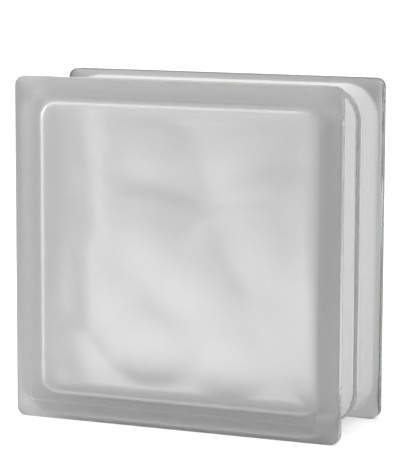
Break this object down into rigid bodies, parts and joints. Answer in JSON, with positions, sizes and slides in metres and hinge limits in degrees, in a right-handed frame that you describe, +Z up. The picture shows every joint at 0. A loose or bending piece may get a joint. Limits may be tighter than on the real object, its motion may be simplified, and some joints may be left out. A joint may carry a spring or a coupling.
{
  "type": "hollow glass block",
  "caption": "Square hollow glass block of two pressed pans fused at a seam, with a satin front, rolled borders, waved inner faces and a pale coat on its edge channels.",
  "frame": {"origin": "middle of the footprint of the standing block, between the two flanges, on the floor", "axes": "+X to the right along the face, +Y from the front face to the back face, +Z up"},
  "size_m": [0.19, 0.08, 0.19],
  "materials": {
    "satin_glass": "pressed clear glass, its outer face etched to an even satin, the channel walls under a pale mortar-grip coat",
    "clear_glass": "fire-polished pressed clear glass, the channel walls under a pale mortar-grip coat"
  },
  "bodies": {
    "root": {"front_half": "satin_glass", "back_half": "clear_glass"}
  },
  "joints": []
}
